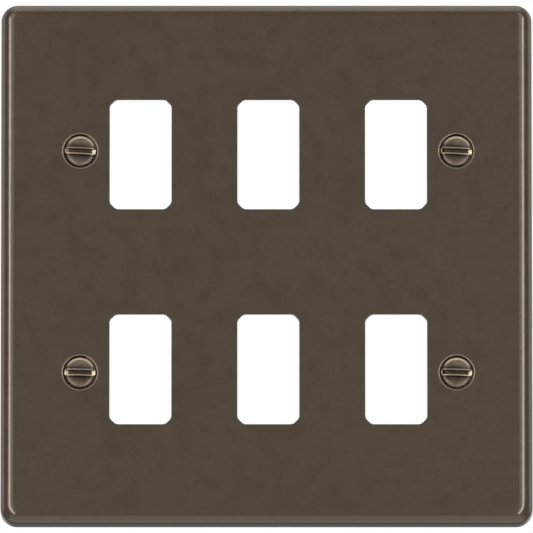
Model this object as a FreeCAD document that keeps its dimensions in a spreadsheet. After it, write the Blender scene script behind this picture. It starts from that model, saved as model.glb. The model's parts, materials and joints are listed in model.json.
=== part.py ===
import FreeCAD, Part
import os
from math import asin, pi

import Sketcher

# Grid switch plate: a pressed metal face plate with switch apertures, and the fixing screws
# that hold it. Millimetres. X runs to the right, Y runs into the wall and Z runs up. The
# origin is the middle of the plate's outline, in the plane of the wall behind it, so the
# face looks towards -Y.

COLUMNS = 3
ROWS = 2
FULL_TURN = 360
OVERRUN = 1.0
SAME = 1e-4

document = FreeCAD.newDocument("grid_switch_plate")

# Driving sizes

SIZES = {
    "plate_width": 146.0,
    "plate_height": 146.0,
    "plate_depth": 8.0,
    "metal_thickness": 1.2,
    "edge_roll": 3.8,
    "face_corner_radius": 0.8,
    "aperture_width": 16.95,
    "aperture_height": 31.0,
    "aperture_crop": 1.7,
    "aperture_rounding": 1.8,
    "column_pitch": 35.1,
    "row_pitch": 60.5,
    "pattern_shift": 0.5,
    "fixing_spacing_x": 103.4,
    "fixing_spacing_z": 62.4,
    "head_diameter": 8.3,
    "head_dome": 0.85,
    "head_rim": 0.25,
    "head_sink": 0.35,
    "seat_clearance": 0.03,
    "slot_width": 1.2,
    "slot_depth": 1.15,
    "slot_turn_top_left": 2.9,
    "slot_turn_top_right": 3.0,
    "slot_turn_bottom_left": 1.4,
    "slot_turn_bottom_right": 1.7,
    "thread_diameter": 3.5,
    "thread_depth": 0.25,
    "neck_length": 0.4,
    "tip_chamfer": 0.4,
    "screw_length": 16.0,
    "hole_clearance": 0.4,
    "hole_land": 0.3,
    "mouth_break": 0.25,
}

# Sizes that follow from the driving ones. The screw head and its seat are both 90 degree
# cones, so a step in radius is the same step in depth. Names that end in _plane are places
# along Y on the plate, and names that end in _station are places along a screw, counted
# from the edge of its domed head.

FOLLOWING = {
    "half_width": "Sizes.plate_width / 2",
    "half_height": "Sizes.plate_height / 2",
    "corner_radius": "Sizes.edge_roll + Sizes.face_corner_radius",
    "face_plane": "-Sizes.plate_depth",
    "aperture_half_width": "Sizes.aperture_width / 2",
    "aperture_half_height": "Sizes.aperture_height / 2",
    "aperture_flat_x": "aperture_half_width - Sizes.aperture_crop",
    "aperture_flat_z": "aperture_half_height - Sizes.aperture_crop",
    "columns_span": f"Sizes.column_pitch * {COLUMNS - 1}",
    "rows_span": f"Sizes.row_pitch * {ROWS - 1}",
    "first_column": "Sizes.pattern_shift - columns_span / 2",
    "first_row": "-rows_span / 2",
    "fixing_left": "Sizes.pattern_shift - Sizes.fixing_spacing_x / 2",
    "fixing_right": "Sizes.pattern_shift + Sizes.fixing_spacing_x / 2",
    "fixing_bottom": "-Sizes.fixing_spacing_z / 2",
    "fixing_top": "Sizes.fixing_spacing_z / 2",
    "head_radius": "Sizes.head_diameter / 2",
    "thread_radius": "Sizes.thread_diameter / 2",
    "neck_radius": "thread_radius - Sizes.thread_depth",
    "tip_radius": "thread_radius - Sizes.tip_chamfer",
    "dome_station": "-Sizes.head_dome",
    "rim_station": "Sizes.head_rim",
    "cone_end_station": "rim_station + head_radius - neck_radius",
    "neck_end_station": "cone_end_station + Sizes.neck_length",
    "thread_start_station": "neck_end_station + Sizes.thread_depth",
    "thread_end_station": "Sizes.screw_length - Sizes.tip_chamfer",
    "slot_end": f"head_radius + {OVERRUN}",
    "slot_top_station": f"dome_station - {OVERRUN}",
    "head_plane": "face_plane + Sizes.head_sink",
    "hole_radius": "thread_radius + Sizes.hole_clearance",
    "mouth_radius": "head_radius + Sizes.head_sink + Sizes.head_rim + Sizes.seat_clearance * sqrt(2)",
    "seat_open_radius": f"mouth_radius + {OVERRUN}",
    "seat_open_plane": f"face_plane - {OVERRUN}",
    "seat_end_plane": "face_plane + mouth_radius - hole_radius",
    "dimple_plane": "face_plane + Sizes.metal_thickness",
    "dimple_end_plane": "seat_end_plane + Sizes.hole_land",
    "dimple_radius": "mouth_radius + Sizes.metal_thickness * (sqrt(2) - 1)",
    "dimple_end_radius": "dimple_radius + dimple_plane - dimple_end_plane",
    "hole_open_plane": f"dimple_end_plane + {OVERRUN}",
}


def fill_sheet(sheet, cells):
    for row, (alias, content) in enumerate(cells.items(), start=1):
        sheet.set(f"A{row}", alias)
        sheet.set(f"B{row}", content)
        sheet.setAlias(f"B{row}", alias)


driving_sheet = document.addObject("Spreadsheet::Sheet", "Sizes")
following_sheet = document.addObject("Spreadsheet::Sheet", "Following")
fill_sheet(driving_sheet, {alias: str(number) for alias, number in SIZES.items()})
fill_sheet(following_sheet, {alias: f"={formula}" for alias, formula in FOLLOWING.items()})
document.recompute()


def bound(name):
    """The expression for a named size, which may carry a minus sign."""
    alias = name.lstrip("-")
    sheet_name = "Sizes" if alias in SIZES else "Following"
    return f"{name[:-len(alias)]}{sheet_name}.{alias}"


def number(name):
    """What a named size comes to now, for starting a sketch and for finding edges."""
    alias = name.lstrip("-")
    sheet = driving_sheet if alias in SIZES else following_sheet
    return float(sheet.get(alias)) * (-1 if name.startswith("-") else 1)


def start_point(place):
    return FreeCAD.Vector(*(0 if name == "0" else number(name) for name in place), 0)


# Sketches


def origin_part(body, role):
    return next(item for item in body.Origin.OriginFeatures if item.Role == role)


def new_sketch(body, name, plane, offset=()):
    """A sketch on one of the body's own planes, shifted by (axis, size name) pairs."""
    sketch = body.newObject("Sketcher::SketchObject", name)
    sketch.AttachmentSupport = [(origin_part(body, plane), "")]
    sketch.MapMode = "FlatFace"
    for axis, size_name in offset:
        sketch.setExpression(f"AttachmentOffset.Base.{axis}", bound(size_name))
    return sketch


def hold_vertex(sketch, edge, place):
    """Tie the first vertex of an edge to an axis of the sketch or to a named size."""
    axis_lines = {"x": -2, "y": -1}
    for axis, size_name in zip("xy", place):
        if size_name == "0":
            sketch.addConstraint(Sketcher.Constraint("PointOnObject", edge, 1, axis_lines[axis]))
            continue
        now = number(size_name)
        index = sketch.addConstraint(
            Sketcher.Constraint(f"Distance{axis.upper()}", -1, 1, edge, 1, now)
        )
        sketch.renameConstraint(index, f"vertex_{edge}_{axis}")
        sketch.setExpression(f"Constraints.vertex_{edge}_{axis}", bound(size_name))


def draw_outline(sketch, places, last_edge=None):
    """A closed outline through the places, straight apart from a curved last edge."""
    points = [start_point(place) for place in places]
    edges = [Part.LineSegment(a, b) for a, b in zip(points, points[1:] + points[:1])]
    if last_edge is not None:
        edges[-1] = last_edge
    for edge in edges:
        sketch.addGeometry(edge)
    for edge in range(len(edges)):
        following_edge = (edge + 1) % len(edges)
        sketch.addConstraint(Sketcher.Constraint("Coincident", edge, 2, following_edge, 1))
    for edge, place in enumerate(places):
        hold_vertex(sketch, edge, place)


def rectangle(half_x, half_y):
    return [
        (f"-{half_x}", f"-{half_y}"),
        (half_x, f"-{half_y}"),
        (half_x, half_y),
        (f"-{half_x}", half_y),
    ]


# Features


def settle(body, feature):
    body.Tip = feature
    document.recompute()
    return feature


def expect_change(before, feature, grows):
    """Stop if a feature left the volume alone or changed it the wrong way."""
    change = feature.Shape.Volume - before.Shape.Volume
    if (change > SAME) != grows or abs(change) <= SAME:
        raise RuntimeError(f"{feature.Name} changes the volume by {change:.4f}")


def pad(body, sketch, name, length):
    feature = body.newObject("PartDesign::Pad", name)
    feature.Profile = sketch
    feature.setExpression("Length", bound(length))
    return settle(body, feature)


def revolve(body, sketch, name, kind):
    feature = body.newObject(kind, name)
    feature.Profile = sketch
    feature.ReferenceAxis = (sketch, ["V_Axis"])
    feature.Angle = FULL_TURN
    return settle(body, feature)


def dress_edges(body, kind, name, length, size, wanted):
    """Round or break the edges of the body's tip that the test picks out."""
    base = body.Tip
    names = [f"Edge{n}" for n, edge in enumerate(base.Shape.Edges, start=1) if wanted(edge)]
    feature = body.newObject(kind, name)
    feature.Base = (base, names)
    feature.setExpression(length, bound(size))
    return settle(body, feature)


def fillet(body, name, radius, wanted):
    return dress_edges(body, "PartDesign::Fillet", name, "Radius", radius, wanted)


def chamfer(body, name, size, wanted):
    return dress_edges(body, "PartDesign::Chamfer", name, "Size", size, wanted)


def grid(body, name, originals, span_x, count_x, span_z, count_z):
    """Copy features to the right and upwards, over two named spans."""
    feature = body.newObject("PartDesign::LinearPattern", name)
    feature.Originals = originals
    feature.Direction = (origin_part(body, "X_Axis"), [""])
    feature.Direction2 = (origin_part(body, "Z_Axis"), [""])
    feature.Occurrences = count_x
    feature.Occurrences2 = count_z
    feature.setExpression("Length", bound(span_x))
    feature.setExpression("Length2", bound(span_z))
    return settle(body, feature)


def runs_along_y(edge, length):
    ends = edge.BoundBox
    straight = ends.XLength < SAME and ends.ZLength < SAME
    return straight and abs(ends.YLength - length) < SAME


def lies_at(shape, y):
    return shape.BoundBox.YLength < SAME and abs(shape.BoundBox.YMin - y) < SAME


def circle_at(edge, y, radius):
    if edge.Degenerated or not lies_at(edge, y):
        return False
    return isinstance(edge.Curve, Part.Circle) and abs(edge.Curve.Radius - radius) < SAME


# The face plate: a sheet pressed into a shallow tray, with its edge rolled all round.


def press_tray(body):
    """Round the blank first, then hollow it from behind to one thickness of metal."""
    outline = new_sketch(body, "Outline", "XZ_Plane")
    draw_outline(outline, rectangle("half_width", "half_height"))
    blank = pad(body, outline, "Blank", "plate_depth")
    depth, face = number("plate_depth"), number("face_plane")
    fillet(body, "OutlineCorners", "corner_radius", lambda edge: runs_along_y(edge, depth))
    rolled = fillet(body, "RolledEdge", "edge_roll", lambda edge: lies_at(edge, face))
    expect_change(blank, rolled, grows=False)
    tray = body.newObject("PartDesign::Thickness", "Tray")
    back = next(n for n, side in enumerate(rolled.Shape.Faces, start=1) if lies_at(side, 0))
    tray.Base = (rolled, [f"Face{back}"])
    tray.Reversed = True
    tray.setExpression("Value", bound("metal_thickness"))
    settle(body, tray)
    expect_change(rolled, tray, grows=False)


def pierce_apertures(body):
    """One tall aperture with cropped corners, repeated over the rows and columns."""
    before = body.Tip
    outline = new_sketch(
        body, "ApertureOutline", "XZ_Plane", [("x", "first_column"), ("y", "first_row")]
    )
    flat_x, flat_z = "aperture_flat_x", "aperture_flat_z"
    half_x, half_z = "aperture_half_width", "aperture_half_height"
    draw_outline(
        outline,
        [
            (f"-{flat_x}", f"-{half_z}"),
            (flat_x, f"-{half_z}"),
            (half_x, f"-{flat_z}"),
            (half_x, flat_z),
            (flat_x, half_z),
            (f"-{flat_x}", half_z),
            (f"-{half_x}", flat_z),
            (f"-{half_x}", f"-{flat_z}"),
        ],
    )
    aperture = body.newObject("PartDesign::Pocket", "Aperture")
    aperture.Profile = outline
    aperture.Type = "ThroughAll"
    aperture.Reversed = True
    settle(body, aperture)
    expect_change(before, aperture, grows=False)
    all_apertures = grid(
        body, "ApertureGrid", [aperture], "columns_span", COLUMNS, "rows_span", ROWS
    )
    expect_change(aperture, all_apertures, grows=False)
    wall = number("metal_thickness")
    fillet(body, "ApertureRounding", "aperture_rounding", lambda edge: runs_along_y(edge, wall))


def form_fixing_holes(body):
    """A dimple pressed back from the face, its conical seat and its hole, at each fixing."""
    place = [("x", "fixing_left"), ("z", "fixing_bottom")]
    before = body.Tip
    dimple_outline = new_sketch(body, "DimpleOutline", "XY_Plane", place)
    draw_outline(
        dimple_outline,
        [
            ("0", "dimple_plane"),
            ("dimple_radius", "dimple_plane"),
            ("dimple_end_radius", "dimple_end_plane"),
            ("0", "dimple_end_plane"),
        ],
    )
    dimple = revolve(body, dimple_outline, "Dimple", "PartDesign::Revolution")
    expect_change(before, dimple, grows=True)
    seat_outline = new_sketch(body, "SeatOutline", "XY_Plane", place)
    draw_outline(
        seat_outline,
        [
            ("0", "seat_open_plane"),
            ("seat_open_radius", "seat_open_plane"),
            ("hole_radius", "seat_end_plane"),
            ("hole_radius", "hole_open_plane"),
            ("0", "hole_open_plane"),
        ],
    )
    seat = revolve(body, seat_outline, "Seat", "PartDesign::Groove")
    expect_change(dimple, seat, grows=False)
    pair = "fixing_spacing_x", 2, "fixing_spacing_z", 2
    grid(body, "FixingGrid", [dimple, seat], *pair)
    face, radius = number("face_plane"), number("mouth_radius")
    chamfer(body, "MouthBreak", "mouth_break", lambda edge: circle_at(edge, face, radius))


def face_plate():
    body = document.addObject("PartDesign::Body", "FacePlate")
    body.Label = "face_plate"
    press_tray(body)
    pierce_apertures(body)
    form_fixing_holes(body)
    return body


# A fixing screw: a slotted head, domed above and conical below, on a threaded shank. Its
# own origin is on its axis, level with the edge of the dome.


def turn_screw(body):
    outline = new_sketch(body, "ScrewOutline", "XY_Plane")
    rise, radius = number("head_dome"), number("head_radius")
    dome_radius = (radius**2 + rise**2) / (2 * rise)
    dome_circle = Part.Circle(
        FreeCAD.Vector(0, dome_radius - rise, 0), FreeCAD.Vector(0, 0, 1), dome_radius
    )
    dome = Part.ArcOfCircle(dome_circle, -pi / 2, asin(radius / dome_radius) - pi / 2)
    places = [
        ("head_radius", "0"),
        ("head_radius", "rim_station"),
        ("neck_radius", "cone_end_station"),
        ("neck_radius", "neck_end_station"),
        ("thread_radius", "thread_start_station"),
        ("thread_radius", "thread_end_station"),
        ("tip_radius", "screw_length"),
        ("0", "screw_length"),
        ("0", "dome_station"),
    ]
    draw_outline(outline, places, last_edge=dome)
    dome_edge, centre, middle_line = len(places) - 1, 3, -2
    outline.addConstraint(
        Sketcher.Constraint("PointOnObject", dome_edge, centre, middle_line)
    )
    revolve(body, outline, "Turned", "PartDesign::Revolution")


def saw_slot(body):
    before = body.Tip
    outline = new_sketch(body, "SlotOutline", "XY_Plane")
    draw_outline(
        outline,
        [
            ("-slot_end", "slot_top_station"),
            ("slot_end", "slot_top_station"),
            ("slot_end", "slot_depth"),
            ("-slot_end", "slot_depth"),
        ],
    )
    slot = body.newObject("PartDesign::Pocket", "Slot")
    slot.Profile = outline
    slot.SideType = "Symmetric"
    slot.setExpression("Length", bound("slot_width"))
    settle(body, slot)
    expect_change(before, slot, grows=False)


def fixing_screw(level, side):
    """One screw in its seat, with its slot turned as far as it was tightened."""
    body = document.addObject("PartDesign::Body", "FixingScrew")
    body.Label = f"fixing_screw_{level}_{side}"
    turn_screw(body)
    saw_slot(body)
    turn = f"slot_turn_{level}_{side}"
    body.Placement.Rotation = FreeCAD.Rotation(FreeCAD.Vector(0, 1, 0), number(turn))
    body.setExpression("Placement.Rotation.Angle", bound(turn))
    body.setExpression("Placement.Base.x", bound(f"fixing_{side}"))
    body.setExpression("Placement.Base.y", bound("head_plane"))
    body.setExpression("Placement.Base.z", bound(f"fixing_{level}"))
    document.recompute()
    return body


pieces = [face_plate()]
for level in ("top", "bottom"):
    for side in ("left", "right"):
        pieces.append(fixing_screw(level, side))
document.recompute()

# Every object has to be sound before anything is written.

for item in document.Objects:
    if {"Invalid", "Error"} & set(item.State):
        raise RuntimeError(f"{item.Label} did not compute: {item.State}")

for piece in pieces:
    shape = piece.Shape
    if shape.isNull() or not shape.isValid() or len(shape.Solids) != 1:
        raise RuntimeError(f"{piece.Label} is not one valid solid")

os.makedirs("parts", exist_ok=True)
for piece in pieces:
    piece.Shape.exportStep(f"parts/{piece.Label}.step")
    box = piece.Shape.BoundBox
    print(
        f"{piece.Label}: {piece.Shape.Volume:.1f} mm3, "
        f"X {box.XMin:.2f} to {box.XMax:.2f}, Y {box.YMin:.2f} to {box.YMax:.2f}, "
        f"Z {box.ZMin:.2f} to {box.ZMax:.2f}"
    )
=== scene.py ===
# %% [markdown]
# # A bronze grid switch plate
#
# This lesson dresses a large metal switch plate: a sheet pressed into a shallow tray, pierced
# with six tall apertures for switch modules, and held to its box by four slotted screws. The
# solids were made elsewhere and are only loaded here. They are right in size, but their
# surfaces are loose triangles with hard edges, so the plate and the screws are drawn again
# inside the same space, with the soft edges and the worn finish that light picks out.
#
# Everything is placed by the loaded model. X runs to the right, Y into the wall and Z up.

import json
from math import cos, pi, radians, sin, sqrt

import bmesh
import bpy
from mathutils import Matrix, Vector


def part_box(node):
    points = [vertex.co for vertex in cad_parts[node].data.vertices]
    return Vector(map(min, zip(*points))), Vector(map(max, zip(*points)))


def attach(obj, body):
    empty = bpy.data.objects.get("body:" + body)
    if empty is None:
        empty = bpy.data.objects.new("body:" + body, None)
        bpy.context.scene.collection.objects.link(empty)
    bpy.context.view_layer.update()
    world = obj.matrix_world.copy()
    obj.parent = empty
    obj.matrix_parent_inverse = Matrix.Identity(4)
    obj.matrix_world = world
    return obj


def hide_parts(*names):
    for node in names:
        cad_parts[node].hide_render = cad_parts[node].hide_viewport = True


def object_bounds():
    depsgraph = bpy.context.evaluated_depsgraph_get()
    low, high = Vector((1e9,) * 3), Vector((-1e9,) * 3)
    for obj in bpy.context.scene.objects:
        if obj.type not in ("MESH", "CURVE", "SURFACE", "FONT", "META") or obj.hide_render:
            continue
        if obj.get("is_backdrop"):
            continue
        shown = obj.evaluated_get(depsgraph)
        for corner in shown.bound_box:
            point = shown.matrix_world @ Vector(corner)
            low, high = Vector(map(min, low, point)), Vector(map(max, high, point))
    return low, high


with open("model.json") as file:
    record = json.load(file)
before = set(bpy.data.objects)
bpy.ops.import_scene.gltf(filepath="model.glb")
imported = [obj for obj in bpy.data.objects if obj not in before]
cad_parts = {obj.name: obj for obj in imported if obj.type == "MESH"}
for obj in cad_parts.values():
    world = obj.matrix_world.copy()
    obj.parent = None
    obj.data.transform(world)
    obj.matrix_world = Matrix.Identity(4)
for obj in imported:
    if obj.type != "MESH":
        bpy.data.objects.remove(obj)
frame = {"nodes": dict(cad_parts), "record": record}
cad_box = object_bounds()
print("nodes:", ", ".join(sorted(frame["nodes"])))

# %% [markdown]
# ## Places read from the model
#
# A second drawing of the same thing goes wrong when its numbers drift from the first. Here the
# plate's outside sizes and the places of the screws are read from the model's own boxes, so a
# changed model carries them along. The trees below draw in millimetres, because the edges of
# a pressed sheet are fractions of one, and their last step turns them into metres.

# %% Measure the plate and find the screws
MM = 0.001
LEVELS = ("top", "bottom")
SIDES = ("left", "right")

plate_low, plate_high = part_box("face_plate")
PLATE_WIDTH, PLATE_DEPTH, PLATE_HEIGHT = (plate_high - plate_low) / MM


def middle_of(node):
    low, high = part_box(node)
    return (low + high) / 2


screw_places = {
    (level, side): middle_of(f"fixing_screw_{level}_{side}")
    for level in LEVELS
    for side in SIDES
}
FIXING_SPAN_X = (screw_places["top", "right"].x - screw_places["top", "left"].x) / MM
FIXING_SPAN_Z = (screw_places["top", "left"].z - screw_places["bottom", "left"].z) / MM
PATTERN_SHIFT = (screw_places["top", "right"].x + screw_places["top", "left"].x) / 2 / MM
print(f"plate {PLATE_WIDTH:.1f} x {PLATE_HEIGHT:.1f} x {PLATE_DEPTH:.1f} mm")
print(f"screws {FIXING_SPAN_X:.1f} x {FIXING_SPAN_Z:.1f} mm apart, {PATTERN_SHIFT:.1f} mm right")

# %% [markdown]
# ## A short way to write node trees
#
# Node trees can be clicked together or written out call by call, and both are slow to read
# back. A tree is easier to follow as a formula, so one small class stands for the output of a
# node and understands + - * and /. Every other node comes from one method, which takes the
# kind of node, its settings and what goes into its sockets. Materials and Geometry Nodes use
# the same two classes.

# %% Write trees as formulas


class Wire:
    """An output of a node. Arithmetic on it adds Math nodes to the same tree."""

    def __init__(self, tree, socket):
        self.tree = tree
        self.socket = socket

    def also(self, output):
        """Another output of the same node."""
        return Wire(self.tree, pick(self.socket.node.outputs, output))

    def math(self, operation, *values):
        return self.tree.node("ShaderNodeMath", {"operation": operation}, dict(enumerate(values)))

    def __add__(self, other):
        return self.math("ADD", self, other)

    def __sub__(self, other):
        return self.math("SUBTRACT", self, other)

    def __mul__(self, other):
        return self.math("MULTIPLY", self, other)

    def __truediv__(self, other):
        return self.math("DIVIDE", self, other)

    def __radd__(self, other):
        return self.math("ADD", other, self)

    def __rsub__(self, other):
        return self.math("SUBTRACT", other, self)

    def __rmul__(self, other):
        return self.math("MULTIPLY", other, self)

    def __rtruediv__(self, other):
        return self.math("DIVIDE", other, self)

    def __pow__(self, other):
        return self.math("POWER", self, other)

    def __abs__(self):
        return self.math("ABSOLUTE", self)

    def root(self):
        return self.math("SQRT", self)

    def above(self, start, end):
        """0 below start and 1 above end, with a soft step between. It may also run down."""
        settings = {"interpolation_type": "SMOOTHSTEP"}
        return self.tree.node("ShaderNodeMapRange", settings, {0: self, 1: start, 2: end})


def pick(sockets, key):
    if isinstance(key, int):
        return sockets[key]
    return next(s for s in sockets if s.enabled and key in (s.identifier, s.name))


class Tree:
    """A node tree that is written as calls and formulas."""

    def __init__(self, tree):
        self.tree = tree

    def node(self, kind, settings=None, sockets=None):
        """A node of any kind, given its settings and what goes into its sockets."""
        made = self.tree.nodes.new(kind)
        for name, value in (settings or {}).items():
            setattr(made, name, value)
        for key, value in (sockets or {}).items():
            socket = pick(made.inputs, key)
            for item in value if isinstance(value, list) else [value]:
                if isinstance(item, Wire):
                    self.tree.links.new(item.socket, socket)
                else:
                    socket.default_value = item
        return Wire(self, next((s for s in made.outputs if s.enabled), None))

    def vector(self, operation, *values):
        sockets = dict(enumerate(values))
        return self.node("ShaderNodeVectorMath", {"operation": operation}, sockets)

    def split(self, vector):
        first = self.node("ShaderNodeSeparateXYZ", {}, {0: vector})
        return first, first.also("Y"), first.also("Z")

    def joined(self, x, y, z):
        return self.node("ShaderNodeCombineXYZ", {}, {0: x, 1: y, 2: z})


print("tree helpers ready")

# %% [markdown]
# ## Rules for shapes
#
# A Geometry Nodes tree is a rule with named inputs. It is handed to an object by a modifier,
# and each input is then set through its identifier. When the rule has run, the object keeps
# the plain mesh that came out, because other programs can't read a modifier. Every rule ends
# the same way: copies are made real and the finish is put on, so both are kept in that mesh.

# %% Set up a rule and turn its result into a plain mesh
SOCKET_KINDS = {
    float: "NodeSocketFloat",
    int: "NodeSocketInt",
    bpy.types.Object: "NodeSocketObject",
    bpy.types.Material: "NodeSocketMaterial",
}


def shape_rule(name, values):
    """An empty Geometry Nodes tree with one named input for each value."""
    tree = bpy.data.node_groups.new(name, "GeometryNodeTree")
    tree.interface.new_socket("Geometry", in_out="INPUT", socket_type="NodeSocketGeometry")
    tree.interface.new_socket("Geometry", in_out="OUTPUT", socket_type="NodeSocketGeometry")
    for label, value in values.items():
        kind = SOCKET_KINDS[type(value)]
        tree.interface.new_socket(label, in_out="INPUT", socket_type=kind)
    rule = Tree(tree)
    start = rule.node("NodeGroupInput")
    return rule, start.also("Geometry"), {label: start.also(label) for label in values}


def end_rule(rule, shape, finish):
    """Make every copy real, shade it smoothly and give it its finish."""
    real = rule.node("GeometryNodeRealizeInstances", {}, {"Geometry": shape})
    smooth = rule.node("GeometryNodeSetShadeSmooth", {}, {"Geometry": real})
    sockets = {"Geometry": smooth, "Material": finish}
    finished = rule.node("GeometryNodeSetMaterial", {}, sockets)
    rule.node("NodeGroupOutput", {}, {"Geometry": finished})


def run_rule(piece, rule, values):
    """Put the rule on the piece, set its inputs and keep the mesh that it makes."""
    modifier = piece.modifiers.new(rule.tree.name, "NODES")
    modifier.node_group = rule.tree
    for item in rule.tree.interface.items_tree:
        if item.name in values:
            modifier[item.identifier] = values[item.name]
    evaluated = piece.evaluated_get(bpy.context.evaluated_depsgraph_get())
    piece.data, drawn_points = bpy.data.meshes.new_from_object(evaluated), piece.data
    piece.modifiers.clear()
    bpy.data.meshes.remove(drawn_points)
    return piece


def face_outwards(mesh):
    """Turn every face of a closed mesh outwards and say how many of its edges are open."""
    work = bmesh.new()
    work.from_mesh(mesh)
    bmesh.ops.recalc_face_normals(work, faces=work.faces)
    open_edges = sum(not edge.is_manifold for edge in work.edges)
    work.to_mesh(mesh)
    work.free()
    return open_edges


def new_object(name, vertices, edges=(), faces=()):
    mesh = bpy.data.meshes.new(name)
    mesh.from_pydata(vertices, edges, faces)
    thing = bpy.data.objects.new(name, mesh)
    bpy.context.scene.collection.objects.link(thing)
    return thing


print("rules can be set up and run")

# %% [markdown]
# ## Sections with rounded corners
#
# A pressed or turned thing is best drawn as its section: the outline that a saw cut would
# show. A section here is a handful of corners, and each corner says how far it is rounded.
# Inside the tree, Fillet Curve rounds every corner by its own radius and Curve to Mesh carries
# the section along a path. Changing one number changes an edge all the way round.
#
# In a section, the first number runs outwards from the path and the second is the depth
# below the face.

# %% Draw a section and sweep it


def section(name, corners, closed=False):
    """Corners as (outwards, depth, rounding, steps), kept as a line of points."""
    count = len(corners)
    edges = [(i, (i + 1) % count) for i in range(count if closed else count - 1)]
    thing = new_object(name, [(x, y, 0) for x, y, *_ in corners], edges)
    roundings = thing.data.attributes.new("rounding", "FLOAT", "POINT")
    steps = thing.data.attributes.new("steps", "INT", "POINT")
    roundings.data.foreach_set("value", [corner[2] for corner in corners])
    steps.data.foreach_set("value", [corner[3] for corner in corners])
    return thing


def named(rule, name, kind="FLOAT"):
    return rule.node("GeometryNodeInputNamedAttribute", {"data_type": kind}, {"Name": name})


def sweep(rule, path, section_object, scale=1.0):
    """Carry a rounded section along a path that lies flat."""
    drawn = rule.node("GeometryNodeObjectInfo", {}, {"Object": section_object}).also("Geometry")
    line = rule.node("GeometryNodeMeshToCurve", {}, {"Mesh": drawn})
    rounded = rule.node(
        "GeometryNodeFilletCurve",
        {"mode": "POLY"},
        {"Curve": line, "Radius": named(rule, "rounding"), "Count": named(rule, "steps", "INT")},
    )
    level = rule.node("GeometryNodeSetCurveNormal", {"mode": "Z_UP"}, {"Curve": path})
    return rule.node(
        "GeometryNodeCurveToMesh",
        {},
        {"Curve": level, "Profile Curve": rounded, "Scale": scale, "Fill Caps": True},
    )


print("sections can be drawn and swept")

# %% [markdown]
# ## The plate
#
# The real plate starts as a flat sheet. A press rounds its edge over, pushes four dimples back
# for the countersunk screws and punches the apertures. The same three ideas draw it here: one
# section swept round the outline for the rolled edge, one round each aperture for its punched
# edge, and one round each screw hole for the dimple. The apertures and the holes stand on
# grids, so each is drawn once and placed on the points of its grid.
#
# The flat metal between them is filled in last. Every sweep ends in an open ring, level with
# the front or the back of the sheet, so Fill Curve is given those rings and closes what lies
# between them. Each section starts a little way out on the flat, because a narrow flat band
# beside a rounded edge keeps the shading of the large face even.

# %% Sizes of the plate
EDGE_ROLL = 3.8
CORNER_RADIUS = EDGE_ROLL + 0.8
METAL = 1.2
WALL_EDGE_ROUNDING = 0.1
FLAT_BAND = 0.35

COLUMNS, ROWS = 3, 2
COLUMN_PITCH, ROW_PITCH = 35.1, 60.5
APERTURE_WIDTH, APERTURE_HEIGHT = 16.95, 31.0
APERTURE_CROP = 1.7
APERTURE_CORNER = 1.8
PUNCH_ROUNDING = 0.16

MOUTH_RADIUS = 4.79
HOLE_RADIUS = 2.15
HOLE_LAND = 0.3
MOUTH_ROUNDING = 0.3
BEND_ROUNDING = 0.8
print(f"{COLUMNS} x {ROWS} apertures of {APERTURE_WIDTH} x {APERTURE_HEIGHT} mm")

# %% Sections of the plate
seat_depth = MOUTH_RADIUS - HOLE_RADIUS
dimple_depth = seat_depth + HOLE_LAND
dimple_root = MOUTH_RADIUS + METAL * (sqrt(2) - 1)
dimple_end = dimple_root + METAL - dimple_depth

edge_section = section(
    "edge_section",
    [
        (-FLAT_BAND, 0, 0, 1),
        (EDGE_ROLL, 0, EDGE_ROLL, 24),
        (EDGE_ROLL, PLATE_DEPTH, WALL_EDGE_ROUNDING, 5),
        (EDGE_ROLL - METAL, PLATE_DEPTH, WALL_EDGE_ROUNDING, 5),
        (EDGE_ROLL - METAL, METAL, EDGE_ROLL - METAL, 14),
        (-FLAT_BAND, METAL, 0, 1),
    ],
)
punched_section = section(
    "punched_section",
    [
        (FLAT_BAND, 0, 0, 1),
        (0, 0, PUNCH_ROUNDING, 5),
        (0, METAL, PUNCH_ROUNDING / 2, 3),
        (FLAT_BAND, METAL, 0, 1),
    ],
)
seat_section = section(
    "seat_section",
    [
        (MOUTH_ROUNDING + FLAT_BAND, 0, 0, 1),
        (0, 0, MOUTH_ROUNDING, 6),
        (HOLE_RADIUS - MOUTH_RADIUS, seat_depth, 0.1, 3),
        (HOLE_RADIUS - MOUTH_RADIUS, dimple_depth, 0.05, 2),
        (dimple_end - MOUTH_RADIUS, dimple_depth, 0.3, 4),
        (dimple_root - MOUTH_RADIUS, METAL, BEND_ROUNDING, 6),
        (dimple_root - MOUTH_RADIUS + BEND_ROUNDING, METAL, 0, 1),
    ],
)
print(f"seat {seat_depth:.2f} mm deep, dimple {dimple_depth:.2f} mm")

# %% [markdown]
# ## Antique bronze
#
# The plate's finish is a thin dark bronze under a satin lacquer. It could be one brown with one
# roughness, but real patina is laid on by hand: it drifts between a darker and a paler brown
# over a centimetre or two, and the lacquer is a little uneven. Soft noises of different sizes
# drift the colour, and a fine one roughens the lacquer.
#
# Wear lies where fingers and tools reach, and painted light and shade lie beside it. On the plate
# that is the seat of each screw: its mouth is rubbed pale, which is wear and a painted highlight;
# the cone below is painted dark, as the shade in the gap round the head, with a painted highlight
# in a crescent; and under the head, where the ends of the slot let it show, the brass coating is
# still bare, with painted shade at the left end of the slot. The distance from the nearest screw
# tells the three apart, worked out from Object coordinates. The painted shade is given the
# shader's metal setting, because a dark paint would still shine white under lamps as bright as
# these.

# %% Helpers for materials


def tinted(colour, red, green, blue):
    return colour[0] * red, colour[1] * green, colour[2] * blue, 1.0


def new_material(name):
    material = bpy.data.materials.new(name)
    material.use_nodes = True
    material.node_tree.nodes.clear()
    return material, Tree(material.node_tree)


def in_millimetres(tree, vector):
    return tree.node("ShaderNodeVectorMath", {"operation": "SCALE"}, {0: vector, "Scale": 1 / MM})


def noise(tree, place, size, detail=2.0, roughness=0.5):
    """Soft noise between 0 and 1 whose patches are about as large as size, in millimetres."""
    sockets = {"Vector": place, "Scale": 1 / size, "Detail": detail, "Roughness": roughness}
    return tree.node("ShaderNodeTexNoise", {}, sockets)


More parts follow.
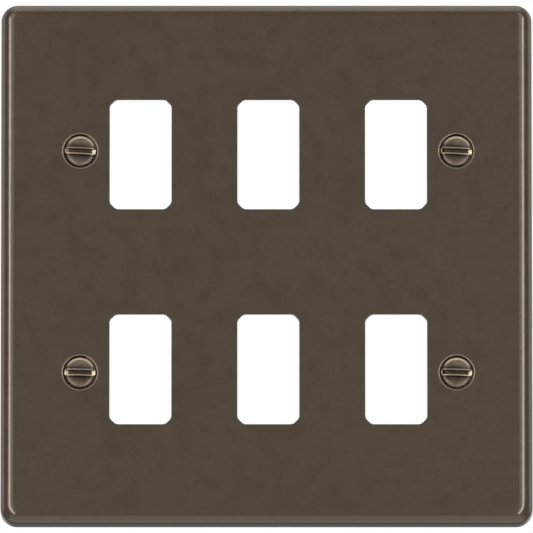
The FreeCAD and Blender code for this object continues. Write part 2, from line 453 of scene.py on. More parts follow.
def mixed(tree, factor, first, second):
    sockets = {"Factor": factor, "A": first, "B": second}
    return tree.node("ShaderNodeMix", {"data_type": "RGBA"}, sockets)


def bump(tree, height):
    """Raise the surface by a height in millimetres."""
    sockets = {"Strength": 1.0, "Distance": MM, "Height": height}
    return tree.node("ShaderNodeBump", {}, sockets)


def finish_with(tree, sockets):
    shader = tree.node("ShaderNodeBsdfPrincipled", {}, sockets)
    tree.node("ShaderNodeOutputMaterial", {}, {"Surface": shader})


print("material helpers ready")

# %% The brown of the plate
BRONZE = frame["record"]["materials"][0]["base_color"]
DARKER_BROWN = tinted(BRONZE, 0.91, 0.918, 0.87)
PALER_BROWN = tinted(BRONZE, 0.99, 0.984, 0.928)
CLOUD_BROWN = tinted(BRONZE, 0.79, 0.77, 0.76)
SPECK_BROWN = tinted(BRONZE, 1.42, 1.41, 1.37)
DRIFT_SIZE, CLOUD_SIZE, SPECK_SIZE = 17.0, 5.0, 1.3
CLOUD_SHARE, SPECK_SHARE = 0.68, 0.17


def mottled_brown(tree, place):
    """Bronze that drifts between two browns, with dark clouds and fine pale specks."""
    elsewhere = tree.vector("ADD", place, (40.0, 13.0, 70.0))
    drift = noise(tree, place, DRIFT_SIZE, 3.0).above(0.35, 0.65)
    cloud = noise(tree, elsewhere, CLOUD_SIZE, 4.0).above(0.35, 0.7)
    speck = noise(tree, place, SPECK_SIZE, 3.0).above(0.3, 0.7)
    drifted = mixed(tree, drift, DARKER_BROWN, PALER_BROWN)
    clouded = mixed(tree, cloud * CLOUD_SHARE, drifted, CLOUD_BROWN)
    return mixed(tree, speck * SPECK_SHARE, clouded, SPECK_BROWN)


print("bronze is", [round(value, 3) for value in BRONZE])

# %% The seats of the screws
# The near black is painted shade in the seats, and painted shade and dirt on the screws. The side
# colour is painted shade in the gap at the sides of a head.
DIRT_AND_SHADE = (0.016, 0.012, 0.009, 1.0)
SIDE_GAP_SHADE = (0.048, 0.036, 0.026, 1.0)
# The shiny colour is a painted highlight in a crescent of the gap.
CRESCENT_HIGHLIGHT = (0.13, 0.105, 0.075, 1.0)
# The mouth's colour is wear and a painted highlight.
MOUTH_WEAR_AND_HIGHLIGHT = (0.28, 0.23, 0.17, 1.0)
BARE_BRASS = (0.64, 0.57, 0.39, 1.0)
# The tarnish colour is painted shade at the left end of a slot.
LEFT_END_SHADE = (0.26, 0.19, 0.12, 1.0)
BARE_RADIUS = 4.22


def from_nearest_screw(x, z):
    """How far a point lies to the right of the nearest screw's axis, above it and from it."""
    outwards = abs(x - PATTERN_SHIFT) - FIXING_SPAN_X / 2
    away = abs(z) - FIXING_SPAN_Z / 2
    radius = (outwards * outwards + away * away).root()
    return x.math("SIGN", x) * outwards, z.math("SIGN", z) * away, radius


def shade_in_seat_gap(tree, x, right, above, radius):
    """Painted shade in the gap round a head: near black at the top and bottom, browner at the
    sides, and a painted highlight in a crescent at the right.

    The crescent lies low on the right-hand screws and high on the left-hand ones.
    """
    at_side = (abs(right) / radius).above(0.4, 0.9)
    towards = (right * 0.8 - x.math("SIGN", x) * above * 0.6) / radius
    # The crescent is a painted highlight.
    crescent = towards.above(0.8, 0.95) * radius.above(4.28, 4.38) * radius.above(4.68, 4.58)
    return mixed(tree, crescent, mixed(tree, at_side, DIRT_AND_SHADE, SIDE_GAP_SHADE), CRESCENT_HIGHLIGHT)


def brass_and_shade_under_head(tree, x, z, right, radius):
    """Bare brass, painted darker as shade at the left end of a slot, though less on the bottom left
    screw.

    A painted shadow darkens the left end further in on the right-hand screws.
    """
    left_end = right.above(-2.5, -3.0)
    # The left end of a slot is painted darker as shade, less on the bottom left screw.
    less_shade = x.above(0.0, -1.0) * z.above(0.0, -1.0) * 0.5
    shaded_brass = mixed(tree, less_shade, LEFT_END_SHADE, BARE_BRASS)
    # On the right-hand screws a painted shadow lies further in at the left end.
    dark = radius.above(3.98, 3.88) * x.above(0.0, 1.0) * left_end
    return mixed(tree, dark, mixed(tree, left_end, BARE_BRASS, shaded_brass), DIRT_AND_SHADE)


def seats_worn_and_shaded(tree, place, brown):
    """The brown with the seats on it, where painted shade darkens them, and how far in their brass
    lies.
    """
    x, y, z = tree.split(place)
    right, above, radius = from_nearest_screw(x, z)
    in_seat = (MOUTH_RADIUS + 0.5 - radius - y - PLATE_DEPTH).above(0.0, 0.05)
    inner_edge = radius.above(MOUTH_RADIUS - 0.1, MOUTH_RADIUS)
    outer_edge = radius.above(MOUTH_RADIUS + 0.4, MOUTH_RADIUS + 0.2)
    # The cone of each seat is painted dark, as the shade in the gap round the head.
    shade_and_dirt = radius.above(MOUTH_RADIUS, MOUTH_RADIUS - 0.08) * in_seat
    bare = radius.above(BARE_RADIUS + 0.03, BARE_RADIUS - 0.03) * in_seat
    # The pale ring at the mouth is wear and a painted highlight.
    colour = mixed(tree, inner_edge * outer_edge * 0.5, brown, MOUTH_WEAR_AND_HIGHLIGHT)
    colour = mixed(tree, shade_and_dirt, colour, shade_in_seat_gap(tree, x, right, above, radius))
    colour = mixed(tree, bare, colour, brass_and_shade_under_head(tree, x, z, right, radius))
    return colour, shade_and_dirt, bare * (BARE_RADIUS - radius)


print(f"brass is bare within {BARE_RADIUS} mm of a screw's axis")

# %% The plate's finish
METAL_SHARE = 0.45
SATIN = 0.17
# A burr round each hole turns the bare brass towards the lamps.
BURR_SLOPE = 0.57


def plate_finish():
    material, tree = new_material("antique_bronze")
    place = in_millimetres(tree, tree.node("ShaderNodeTexCoord").also("Object"))
    colour, shade_and_dirt, brass_depth = seats_worn_and_shaded(tree, place, mottled_brown(tree, place))
    grain = noise(tree, place, 0.5, 2.0)
    uneven = noise(tree, place, 4.0, 2.0)
    height = grain * 0.0012 + uneven * 0.012 + brass_depth * BURR_SLOPE
    # The dark of the seats is painted shade, made dark through the metal setting.
    finish_with(
        tree,
        {
            "Base Color": colour,
            "Metallic": METAL_SHARE + shade_and_dirt * (1 - METAL_SHARE),
            "Roughness": SATIN + grain * 0.05 + uneven * 0.04 + shade_and_dirt * 0.35,
            "Normal": bump(tree, height),
        },
    )
    return material


antique_bronze = plate_finish()
print("plate finish:", len(antique_bronze.node_tree.nodes), "nodes")

# %% [markdown]
# ## Press the plate
#
# The rule draws the outline first, then the apertures and the seats, and the sheet between
# them last. Fillet Curve with a count of one cuts a corner straight, which crops the corners of
# each aperture, and a second one rounds what the first one left.

# %% The rule for the plate
plate_sizes = {
    "Width": PLATE_WIDTH - 2 * EDGE_ROLL,
    "Height": PLATE_HEIGHT - 2 * EDGE_ROLL,
    "Path Corner": CORNER_RADIUS - EDGE_ROLL,
    "Metal": METAL,
    "Depth": PLATE_DEPTH,
    "Shift": PATTERN_SHIFT,
    "Columns": COLUMNS,
    "Rows": ROWS,
    "Columns Span": COLUMN_PITCH * (COLUMNS - 1),
    "Rows Span": ROW_PITCH * (ROWS - 1),
    "Aperture Width": APERTURE_WIDTH,
    "Aperture Height": APERTURE_HEIGHT,
    "Aperture Crop": APERTURE_CROP,
    "Aperture Corner": APERTURE_CORNER,
    "Fixing Span X": FIXING_SPAN_X,
    "Fixing Span Z": FIXING_SPAN_Z,
    "Mouth Radius": MOUTH_RADIUS,
    "Edge Section": edge_section,
    "Punched Section": punched_section,
    "Seat Section": seat_section,
    "Finish": antique_bronze,
}
OUTLINE_STEPS, APERTURE_STEPS, MOUTH_STEPS = 20, 7, 96
MERGE_GAP = 0.002


def filleted(rule, curve, radius, steps):
    sockets = {"Curve": curve, "Radius": radius, "Count": steps}
    return rule.node("GeometryNodeFilletCurve", {"mode": "POLY"}, sockets)


def rectangle(rule, width, height):
    sockets = {"Width": width, "Height": height}
    return rule.node("GeometryNodeCurvePrimitiveQuadrilateral", {}, sockets)


def welded(rule, shape, gap):
    """Join points that lie closer together than the gap."""
    sockets = {"Geometry": shape, "Distance": gap}
    return rule.node("GeometryNodeMergeByDistance", {}, sockets)


def on_grid(rule, shape, span_x, span_z, count_x, count_z, shift):
    """Copies of the shape on the points of a grid."""
    sockets = {"Size X": span_x, "Size Y": span_z, "Vertices X": count_x, "Vertices Y": count_z}
    grid = rule.node("GeometryNodeMeshGrid", {}, sockets)
    copies = rule.node("GeometryNodeInstanceOnPoints", {}, {"Points": grid, "Instance": shape})
    placed = {"Geometry": copies, "Translation": rule.joined(shift, 0.0, 0.0)}
    return rule.node("GeometryNodeTransform", {}, placed)


def sheet_between(rule, rims, metal, front):
    """Fill between the open rings of one side of the metal."""
    neighbours = rule.node("GeometryNodeInputMeshEdgeNeighbors")
    height = rule.split(rule.node("GeometryNodeInputPosition"))[2]
    raised = height + metal / 2
    side = raised.math("GREATER_THAN", raised, 0) if front else raised.math("LESS_THAN", raised, 0)
    is_open = neighbours.math("LESS_THAN", neighbours, 1.5)
    rings = rule.node("GeometryNodeMeshToCurve", {}, {"Mesh": rims, "Selection": side * is_open})
    filled = rule.node("GeometryNodeFillCurve", {}, {"Curve": rings})
    if front:
        return filled
    level = rule.joined(0.0, 0.0, 0 - metal)
    return rule.node("GeometryNodeTransform", {}, {"Geometry": filled, "Translation": level})


def plate_rule():
    rule, _, size = shape_rule("pressed_plate", plate_sizes)
    outline = rectangle(rule, size["Width"], size["Height"])
    edge_path = filleted(rule, outline, size["Path Corner"], OUTLINE_STEPS)
    edge = sweep(rule, edge_path, size["Edge Section"])

    blank = rectangle(rule, size["Aperture Width"], size["Aperture Height"])
    cropped = filleted(rule, blank, size["Aperture Crop"], 1)
    aperture = filleted(rule, cropped, size["Aperture Corner"], APERTURE_STEPS)
    punched = sweep(rule, aperture, size["Punched Section"])
    spans = size["Columns Span"], size["Rows Span"], size["Columns"], size["Rows"]
    apertures = on_grid(rule, punched, *spans, size["Shift"])

    circle = {"Resolution": MOUTH_STEPS, "Radius": size["Mouth Radius"]}
    mouth = rule.node("GeometryNodeCurvePrimitiveCircle", {}, circle)
    seat = sweep(rule, mouth, size["Seat Section"])
    seats = on_grid(rule, seat, size["Fixing Span X"], size["Fixing Span Z"], 2, 2, size["Shift"])

    joined = rule.node("GeometryNodeJoinGeometry", {}, {"Geometry": [edge, apertures, seats]})
    rims = rule.node("GeometryNodeRealizeInstances", {}, {"Geometry": joined})
    front = sheet_between(rule, rims, size["Metal"], front=True)
    back = sheet_between(rule, rims, size["Metal"], front=False)
    whole = rule.node("GeometryNodeJoinGeometry", {}, {"Geometry": [rims, front, back]})
    standing = {
        "Geometry": welded(rule, whole, MERGE_GAP),
        "Translation": rule.joined(0.0, size["Depth"] * -MM, 0.0),
        "Rotation": (pi / 2, 0, 0),
        "Scale": (MM, MM, MM),
    }
    end_rule(rule, rule.node("GeometryNodeTransform", {}, standing), size["Finish"])
    return rule


plate = run_rule(new_object("bronze_plate", []), plate_rule(), plate_sizes)
print("plate:", len(plate.data.polygons), "faces,", face_outwards(plate.data), "open edges")

# %% [markdown]
# ## The screws
#
# Each screw has a low domed head over a cone, a plain neck and a thread. A lathe makes the
# real one, so it is drawn as half of its section and swept round a circle. The slot is sawn
# next: a bar of the slot's width is taken away with Mesh Boolean. The bar widens a little
# where it leaves the head, so the cut leaves a worn, rounded lip instead of a razor edge. The
# height of the dome is one formula, and it works on numbers and on wires alike, so the bar
# follows the dome exactly.
#
# A thread could be faked with a bump, but the bare shank shows from behind, and a bump has no
# outline. A spiral with a small ridge swept along it is cheap enough to be real.
#
# Depth along a screw is counted from the edge of its dome.

# %% Sizes of a screw
HEAD_RADIUS = 4.15
HEAD_DOME = 0.85
HEAD_RIM = 0.25
HEAD_SINK = 0.35
RIM_ROUNDING = 0.1
SCREW_LENGTH = 16.0
NECK_RADIUS = 1.5
NECK_LENGTH = 0.4
TIP_CHAMFER = 0.4
THREAD_RADIUS = 1.75
THREAD_CORE = 1.44
THREAD_PITCH = 0.6

SLOT_WIDTH = 1.25
SLOT_DEPTH = 1.15
LIP_ROUNDING = 0.22
SLOT_TURNS = {
    ("top", "left"): 2.9,
    ("top", "right"): 3.0,
    ("bottom", "left"): 1.4,
    ("bottom", "right"): 1.7,
}
print(f"{SCREW_LENGTH} mm long with a thread of {2 * THREAD_RADIUS} mm")
print("slots left at", *SLOT_TURNS.values(), "degrees")

# %% Sections of a screw
cone_end = HEAD_RIM + HEAD_RADIUS - NECK_RADIUS
shank_start = cone_end + NECK_LENGTH
DOME_STEPS = 20


def dome_height(dome, share):
    """Height over the edge of the dome, from its middle at 0 to its edge at 1.

    The high power makes the dome flatter in its middle and fuller at its edge than an arc.
    """
    return dome * (1 - 0.6 * share**2 - 0.4 * share**12)


# The last step before the edge is left out, to make room for the rounding of the rim.
dome_shares = [sin(step / DOME_STEPS * pi / 2) for step in range(DOME_STEPS - 1)]
turned_corners = [
    *[(HEAD_RADIUS * share, -dome_height(HEAD_DOME, share), 0, 1) for share in dome_shares],
    (HEAD_RADIUS, 0, RIM_ROUNDING, 4),
    (HEAD_RADIUS, HEAD_RIM, 0.08, 3),
    (NECK_RADIUS, cone_end, 0.2, 3),
    (NECK_RADIUS, shank_start, 0.05, 2),
    (THREAD_CORE, shank_start + 0.1, 0.05, 2),
    (THREAD_CORE, SCREW_LENGTH - TIP_CHAMFER, 0.1, 3),
    (THREAD_CORE - TIP_CHAMFER, SCREW_LENGTH, 0.1, 3),
    (0, SCREW_LENGTH, 0, 1),
]
turned_section = section(
    "turned_section",
    [(across - HEAD_RADIUS, depth, *rest) for across, depth, *rest in turned_corners],
)

ridge = THREAD_RADIUS - THREAD_CORE
thread_section = section(
    "thread_section",
    [
        (-0.1, -0.24, 0, 1),
        (ridge, -0.04, 0.02, 2),
        (ridge, 0.04, 0.02, 2),
        (-0.1, 0.24, 0, 1),
    ],
    closed=True,
)

# Above the lips the bar widens by its reach, along a slope.
BAR_REACH = 0.6
BAR_SLOPE = 0.36
lip_depth = LIP_ROUNDING * 0.24
bar_top = lip_depth - BAR_REACH * BAR_SLOPE
slot_floor = HEAD_DOME + SLOT_DEPTH
slot_half = SLOT_WIDTH / 2
slot_section = section(
    "slot_section",
    [
        (slot_half + BAR_REACH, bar_top, 0, 1),
        (slot_half, lip_depth, LIP_ROUNDING, 5),
        (slot_half, slot_floor, 0.08, 3),
        (-slot_half, slot_floor, 0.08, 3),
        (-slot_half, lip_depth, LIP_ROUNDING, 5),
        (-slot_half - BAR_REACH, bar_top, 0, 1),
    ],
    closed=True,
)
print(f"head {2 * HEAD_RADIUS:.1f} mm across, {HEAD_DOME:.2f} mm high")

# %% [markdown]
# ## Rubbed bronze, with painted highlights and shade
#
# The screws wear more than the plate. The driver rubs the lips of the slot back to bare metal,
# and the lower lip is painted paler still, as a highlight. The crown, which is the upper edge of
# the dome, is painted pale as a highlight, and the dome is painted paler away from the slot as a
# sheen. It is darker beside the lips, low in the middle and at the upper left, and painted shade
# lies in the slot, round the cone and along the lower rim. The screws carry a note of where each
# point was on the screw before it was put in its place. That attribute gives the distance from
# the axis and from the slot, whichever way the screw was left turned.

# %% Where a screw is rubbed, darker, or painted with highlights and shade
# The crown's rub is a painted highlight, and so is the lower lip's rub beyond the upper one.
CROWN_HIGHLIGHT, UPPER_LIP_RUB, LOWER_LIP_RUB_AND_HIGHLIGHT = 0.85, 0.28, 0.60


def parts_of_screw(y, z, beside):
    """Soft masks. Each is 1 on its part of the screw and 0 elsewhere."""
    return {
        "head": z.above(-HEAD_RIM - 0.1, -HEAD_RIM),
        "slot": beside.above(0.0, -0.04) * z.above(-SLOT_DEPTH - 0.15, -SLOT_DEPTH - 0.05),
        "lips": beside.above(0.36, 0.24) * beside.above(-0.06, 0.0) * z.above(-0.1, 0.0),
        "low side": y.above(0.4, -0.4),
    }


def rubs_and_highlights(x, y, radius, on):
    """The lips of the slot, rubbed bare, with painted highlights on the crown and on the lower lip,
    which is made paler than the upper one.
    """
    upwards = (y + x * 0.05) / radius
    crown = radius.above(HEAD_RADIUS - 0.75, HEAD_RADIUS - 0.45) * upwards.above(0.3, 0.75)
    lip_rub_and_highlight = UPPER_LIP_RUB + on["low side"] * (LOWER_LIP_RUB_AND_HIGHLIGHT - UPPER_LIP_RUB)
    return crown.math("MAXIMUM", crown * CROWN_HIGHLIGHT, on["lips"] * lip_rub_and_highlight)


def shade_and_dirt_places(x, z, radius, beside, on):
    """Where the screw is darker: beside the lips, low in the middle and at the upper left of the
    dome, and, as painted shade, in the slot, round the cone and along the lower rim.
    """
    near_lips = beside.above(2.4, 0.2) * 0.36
    low_middle = radius.above(3.9, 3.0) * on["low side"] * 0.43
    upper_left = x.above(0.0, -2.0) * (1 - on["low side"]) * radius.above(3.5, 2.9) * 0.2
    darkening = near_lips + low_middle + upper_left
    behind_lips = beside.above(0.35, 0.5) * beside.above(1.0, 0.75) * 0.2
    on_dome = on["head"] * (1 - on["lips"]) * (1 - on["slot"])
    low_rim = radius.above(HEAD_RADIUS - 0.2, HEAD_RADIUS - 0.05) * on["low side"]
    below_head = z.above(-HEAD_RADIUS, -HEAD_RADIUS + 0.5)
    cone = (1 - on["head"]) * (1 - on["slot"]) * below_head
    # The slot, the cone and the lower rim are painted dark as shade.
    deep_darkening = darkening.math("MAXIMUM", low_rim, cone) * 0.85 + on["slot"] * 0.52
    return darkening.math("MAXIMUM", (darkening + behind_lips) * on_dome, deep_darkening)


print(f"crown rubbed {CROWN_HIGHLIGHT:.0%}, lips {UPPER_LIP_RUB:.0%} and {LOWER_LIP_RUB_AND_HIGHLIGHT:.0%}")

# %% The screws' finish
DARK_PATINA, PALE_PATINA = (0.032, 0.022, 0.012, 1.0), (0.050, 0.035, 0.019, 1.0)
# The polish colours paint a sheen on the dome.
DARK_SHEEN, PALE_SHEEN = (0.090, 0.064, 0.039, 1.0), (0.135, 0.098, 0.062, 1.0)
DARK_SAWN, PALE_SAWN = (0.133, 0.099, 0.066, 1.0), (0.21, 0.155, 0.105, 1.0)
# The rubbed metal is wear on the lips and a painted highlight on the crown and lower lip.
RUBBED_METAL_AND_HIGHLIGHT = (0.54, 0.45, 0.325, 1.0)


def screw_finish():
    material, tree = new_material("bronze_with_wear_and_painted_light")
    place = tree.node("ShaderNodeAttribute", {"attribute_name": "screw_place"}).also("Vector")
    plate_place = in_millimetres(tree, tree.node("ShaderNodeTexCoord").also("Object"))
    mottle = noise(tree, plate_place, 0.9, 4.0, 0.65).above(0.3, 0.7)
    x, y, z = tree.split(place)
    radius = (x * x + y * y).root()
    beside = abs(y) - SLOT_WIDTH / 2
    on = parts_of_screw(y, z, beside)
    rub_and_highlight = rubs_and_highlights(x, y, radius, on)
    shade_and_dirt = shade_and_dirt_places(x, z, radius, beside, on)

    patina = mixed(tree, mottle, DARK_PATINA, PALE_PATINA)
    sheen = mixed(tree, mottle, DARK_SHEEN, PALE_SHEEN)
    sawn = mixed(tree, x.above(-1.6, -3.2), DARK_SAWN, PALE_SAWN)
    # The dome is paler away from the slot, towards its rims, as a painted sheen.
    colour = mixed(tree, beside.above(0.1, 2.6) * on["head"], patina, sheen)
    # Rubbed lips, with painted highlights on the crown and the lower lip.
    colour = mixed(tree, rub_and_highlight * 0.9, colour, RUBBED_METAL_AND_HIGHLIGHT)
    colour = mixed(tree, on["slot"], colour, sawn)
    bare = shade_and_dirt.math("MAXIMUM", shade_and_dirt, 0.15 + rub_and_highlight * 0.4)
    # The dark mix darkens the places above, partly as painted shade.
    finish_with(
        tree,
        {
            "Base Color": mixed(tree, shade_and_dirt, colour, DIRT_AND_SHADE),
            "Metallic": bare.math("MAXIMUM", on["slot"], bare),
            "Roughness": 0.34 - rub_and_highlight * 0.1 + mottle * 0.06 + on["slot"] * 0.2,
            "Normal": bump(tree, mottle * 0.008),
        },
    )
    return material


bronze_with_wear_and_painted_light = screw_finish()
print("screw finish:", len(bronze_with_wear_and_painted_light.node_tree.nodes), "nodes")

# %% [markdown]
# ## Cut the screws
#
# The rule turns one screw, saws its slot, winds its thread, and puts copies on the four
# places. Each place carries the angle at which its screw was left.

# %% The rule for the screws
screw_sizes = {
    "Head Radius": HEAD_RADIUS,
    "Head Dome": HEAD_DOME,
    "Thread Core": THREAD_CORE,
    "Thread Start": shank_start + THREAD_PITCH,
    "Thread Length": SCREW_LENGTH - TIP_CHAMFER - shank_start - 2 * THREAD_PITCH,
    "Thread Pitch": THREAD_PITCH,
    "Turned Section": turned_section,
    "Thread Section": thread_section,
    "Slot Section": slot_section,
    "Finish": bronze_with_wear_and_painted_light,
}
TURNED_STEPS, SPIRAL_STEPS, BAR_STEPS = 80, 36, 40
BAR_OVERHANG = 1.0
# The bar is straight up to this height and follows the dome beyond the band above it.
BEND_START, BEND_BAND = -1.2, 0.6
FADE_TURNS = 0.7
POINT_GAP = 0.0001
SHARP_ANGLE = radians(32)


def slot_bar(rule, size):
    """A bar as long as the head is wide and more, bent to follow the dome."""
    reach = size["Head Radius"] + BAR_OVERHANG
    ends = {"Start": rule.joined(0 - reach, 0.0, 0.0), "End": rule.joined(reach, 0.0, 0.0)}
    line = rule.node("GeometryNodeCurvePrimitiveLine", {}, ends)
    path = rule.node("GeometryNodeResampleCurve", {}, {"Curve": line, "Count": BAR_STEPS})
    bar = sweep(rule, path, size["Slot Section"])
    x, _, z = rule.split(rule.node("GeometryNodeInputPosition"))
    share = x.math("MINIMUM", abs(x) / size["Head Radius"], 1)
    at_lips = (z - BEND_START).above(0.0, BEND_BAND)
    rise = size["Head Dome"] * (1 - at_lips) + dome_height(size["Head Dome"], share) * at_lips
    sockets = {"Geometry": bar, "Offset": rule.joined(0.0, 0.0, rise)}
    return rule.node("GeometryNodeSetPosition", {}, sockets)


def thread(rule, size):
    """A ridge along a spiral, thinned to nothing at both ends."""
    turns = size["Thread Length"] / size["Thread Pitch"]
    sockets = {
        "Resolution": SPIRAL_STEPS,
        "Rotations": turns,
        "Start Radius": size["Thread Core"],
        "End Radius": size["Thread Core"],
        "Height": size["Thread Length"],
        "Reverse": True,
    }
    spiral = rule.node("GeometryNodeCurveSpiral", {}, sockets)
    along = rule.node("GeometryNodeSplineParameter").also("Factor") * turns
    fade = along.above(0.0, FADE_TURNS) * (turns - along).above(0.0, FADE_TURNS)
    pointed = welded(rule, sweep(rule, spiral, size["Thread Section"], fade), POINT_GAP)
    down = rule.joined(0.0, 0.0, 0 - size["Thread Start"] - size["Thread Length"])
    return rule.node("GeometryNodeTransform", {}, {"Geometry": pointed, "Translation": down})


def screw_rule():
    rule, places, size = shape_rule("slotted_screw", screw_sizes)
    circle = {"Resolution": TURNED_STEPS, "Radius": size["Head Radius"]}
    round_path = rule.node("GeometryNodeCurvePrimitiveCircle", {}, circle)
    turned = sweep(rule, round_path, size["Turned Section"])
    sawn = rule.node(
        "GeometryNodeMeshBoolean",
        {"operation": "DIFFERENCE", "solver": "EXACT"},
        {"Mesh 1": welded(rule, turned, MERGE_GAP), "Mesh 2": slot_bar(rule, size)},
    )
    screw = rule.node("GeometryNodeJoinGeometry", {}, {"Geometry": [sawn, thread(rule, size)]})
    kept = rule.node(
        "GeometryNodeStoreNamedAttribute",
        {"data_type": "FLOAT_VECTOR"},
        {"Geometry": screw, "Name": "screw_place", "Value": rule.node("GeometryNodeInputPosition")},
    )
    scaled = {"Geometry": kept, "Scale": (MM, MM, MM)}
    turn = rule.joined(pi / 2, named(rule, "turn"), 0.0)
    copies = rule.node(
        "GeometryNodeInstanceOnPoints",
        {},
        {
            "Points": places,
            "Instance": rule.node("GeometryNodeTransform", {}, scaled),
            "Rotation": turn,
        },
    )
    end_rule(rule, copies, size["Finish"])
    return rule


head_plane = plate_low.y + HEAD_SINK * MM
fixings = [(place.x, head_plane, place.z) for place in screw_places.values()]
screws = new_object("bronze_screws", fixings)
turns = screws.data.attributes.new("turn", "FLOAT", "POINT")
turns.data.foreach_set("value", [radians(SLOT_TURNS[key]) for key in screw_places])
run_rule(screws, screw_rule(), screw_sizes)
print("screws:", len(screws.data.polygons), "faces,", face_outwards(screws.data), "open edges")
screws.data.set_sharp_from_angle(angle=SHARP_ANGLE)

# %% [markdown]
# ## Hand the pieces over
#
# Both pieces ride on the model's single body and stand for the solids that they were drawn
# over. The helper objects that held the sections have done their work and go.

# %% Ride, replace and clear away
for name in ("edge", "punched", "seat", "turned", "thread", "slot"):
    bpy.data.objects.remove(bpy.data.objects[f"{name}_section"])

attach(plate, "root")
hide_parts("face_plate")
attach(screws, "root")
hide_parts(*[f"fixing_screw_{level}_{side}" for level, side in screw_places])
print("pieces:", plate.name, "and", screws.name)

# %% [markdown]
# ## The studio
#
# A satin plate shows little more than what it mirrors, so each lamp is placed for its
# reflection. Two tall lamps stand well to the left and right, where only the rolled side edges
# turn them towards the camera, and they lean in at their feet. A haze above each one lets its
# reflection fade towards the top corners, and a broad glow beside it softens the inner side of
# the highlight. A card at each side lights the outer wall, and a low card lights the bottom
# roll. The room in front is dim, which leaves the face its own brown, and behind the plate
# everything is pale.
#
# The lamps light the face to the level at which a colour looks as it was written. The floor
# lies far down, so that a camera looking up at the plate still stands above it.

# %% The floor
FLOOR_DROP = 11.0
FLOOR_HALF = 200.0
PALE = (0.85, 0.85, 0.85, 1.0)
WHITE = (1.0, 1.0, 1.0, 1.0)
WHITE_TO_CAMERA = 0.8
DIM = 0.08


def mirror_ray_of(rays):
    """1 for a ray that comes by way of metal or glass."""
    return rays.math("MAXIMUM", rays.also("Is Glossy Ray"), rays.also("Is Transmission Ray"))


def floor_finish():
    """Pale and shaded, nearly white to the camera, and dim to metal that faces forwards."""
    material, tree = new_material("pale_floor")
    pale = tree.node("ShaderNodeBsdfDiffuse", {}, {"Color": PALE})
    white = tree.node("ShaderNodeEmission", {}, {"Color": WHITE, "Strength": 1.0})
    dim = tree.node("ShaderNodeEmission", {}, {"Color": WHITE, "Strength": DIM})
    rays = tree.node("ShaderNodeLightPath")
    mirror_ray = mirror_ray_of(rays)
    seen = rays.also("Is Camera Ray") * WHITE_TO_CAMERA + mirror_ray * DIM
    lit = tree.node("ShaderNodeMixShader", {}, {0: seen, 1: pale, 2: white})
    _, y, _ = tree.split(tree.node("ShaderNodeTexCoord").also("Object"))
    in_front = y.above(0.5, -0.5)
    surface = tree.node("ShaderNodeMixShader", {}, {0: mirror_ray * in_front, 1: lit, 2: dim})
    tree.node("ShaderNodeOutputMaterial", {}, {"Surface": surface})
    return material


floor_corners = [(-1, -1), (1, -1), (1, 1), (-1, 1)]
floor_points = [(x * FLOOR_HALF, y * FLOOR_HALF, -FLOOR_DROP) for x, y in floor_corners]
floor = new_object("floor", floor_points, faces=[(0, 1, 2, 3)])
floor.data.materials.append(floor_finish())
floor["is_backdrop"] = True
print(f"floor {FLOOR_DROP} m down")

# %% The lamps
# Azimuth and elevation in degrees, distance, width and height in metres, radiance, and lean.
LAMPS = {
    "left_lamp": (-38, -6.5, 1.0, 0.19, 1.45, 10.8, 20),
    "right_lamp": (36.5, -6.5, 1.0, 0.19, 1.45, 10.8, -20),
    "left_haze": (-33, 38, 1.0, 0.34, 0.34, 1.9, 0),
    "right_haze": (33, 38, 1.0, 0.34, 0.34, 1.9, 0),
    "left_glow": (-27, 10, 1.05, 0.5, 0.8, 1.25, 0),
    "right_glow": (25, 10, 1.05, 0.5, 0.8, 1.25, 0),
    "left_card": (-107, 10, 0.9, 0.45, 1.0, 0.68, 0),
    "right_card": (107, 10, 0.9, 0.45, 1.0, 0.68, 0),
    "low_card": (0, -94.5, 0.8, 1.4, 1.2, 0.9, 0),
}


def soft_lamp(name, azimuth, elevation, distance, width, height, radiance, lean):
    """A rectangular lamp that faces the plate. Azimuth runs from straight ahead to the right."""
    data = bpy.data.lights.new(name, "AREA")
    data.shape = "RECTANGLE"
    data.size, data.size_y = width, height
    data.energy = radiance * width * height * pi
    lamp = bpy.data.objects.new(name, data)
    bpy.context.scene.collection.objects.link(lamp)
    a, e = radians(azimuth), radians(elevation)
    lamp.location = (
        distance * sin(a) * cos(e),
        -distance * cos(a) * cos(e),
        distance * sin(e),
    )
    lamp.rotation_euler = lamp.location.to_track_quat("Z", "Y").to_euler()
    lamp.rotation_euler.rotate_axis("Z", radians(lean))
    lamp.visible_camera = False


for lamp_name, values in LAMPS.items():
    soft_lamp(lamp_name, *values)
print("lamps:", ", ".join(LAMPS))

# %% The room around the plate
BEHIND, OVERHEAD, FILL = 0.7, 1.75, 0.15


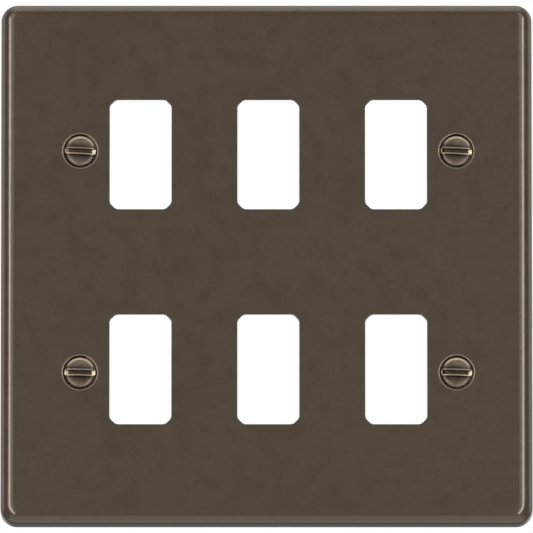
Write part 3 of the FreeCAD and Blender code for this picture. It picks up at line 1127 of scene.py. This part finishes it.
def room():
    """White to the camera. Metal sees it dim in front, pale behind and bright overhead."""
    world = bpy.data.worlds.new("studio")
    world.use_nodes = True
    world.node_tree.nodes.clear()
    tree = Tree(world.node_tree)
    bpy.context.scene.world = world
    _, y, z = tree.split(tree.node("ShaderNodeTexCoord").also("Generated"))
    behind = y.above(-0.05, 0.12) * BEHIND
    overhead = z.above(0.78, 0.97) * OVERHEAD
    mirrored = behind.math("MAXIMUM", DIM, behind.math("MAXIMUM", behind, overhead))
    rays = tree.node("ShaderNodeLightPath")
    camera_ray = rays.also("Is Camera Ray")
    mirror_ray = mirror_ray_of(rays)
    unseen = mirror_ray * mirrored + (1 - mirror_ray) * FILL
    strength = camera_ray + (1 - camera_ray) * unseen
    white = tree.node("ShaderNodeBackground", {}, {"Color": WHITE, "Strength": strength})
    tree.node("ShaderNodeOutputWorld", {}, {"Surface": white})


room()
print(f"room: {DIM} in front, {BEHIND} behind, {OVERHEAD} overhead")

# %% [markdown]
# ## The camera
#
# The photograph was taken with a long lens from a little below, which shows the underside of
# the bottom edge and squashes the square plate by a few pixels. A lens as long as this one
# keeps the two sides parallel. The camera aims a little above the middle of the plate.

# %% Place the camera
IMAGE_PIXELS = 533
PIXELS_PER_MM = 3.6365
VIEW_ELEVATION = radians(-12.8)
LENS = 1700.0
SENSOR_WIDTH = 36.0
AIM_RISE = 0.38 * MM
# Beyond this many metres the camera sees only the white room.
SIGHT = 50.0


def place_camera():
    data = bpy.data.cameras.new("camera")
    data.lens = LENS
    data.sensor_width = SENSOR_WIDTH
    data.clip_end = SIGHT
    view_width = IMAGE_PIXELS / PIXELS_PER_MM * MM
    distance = view_width * LENS / SENSOR_WIDTH
    camera = bpy.data.objects.new("camera", data)
    bpy.context.scene.collection.objects.link(camera)
    rise, fall = sin(VIEW_ELEVATION), cos(VIEW_ELEVATION)
    camera.location = (
        0.0,
        AIM_RISE * rise - distance * fall,
        AIM_RISE * fall + distance * rise,
    )
    camera.rotation_euler = (pi / 2 - VIEW_ELEVATION, 0.0, 0.0)
    bpy.context.scene.camera = camera
    return distance


print(f"camera {place_camera():.2f} m away")
bpy.context.scene.view_settings.view_transform = "Standard"

# %% [markdown]
# ## The sizes side by side
#
# The box of the drawn pieces is printed beside the box of the solids that they stand for. The
# drawn pieces must stay inside the box of the solids that they stand for.

# %% Print both boxes and finish
drawn_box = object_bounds()
boxes = {"cad": cad_box, "drawn": drawn_box}
for name, (low, high) in boxes.items():
    print(name, [f"{value / MM:.2f}" for value in (*low, *high)])
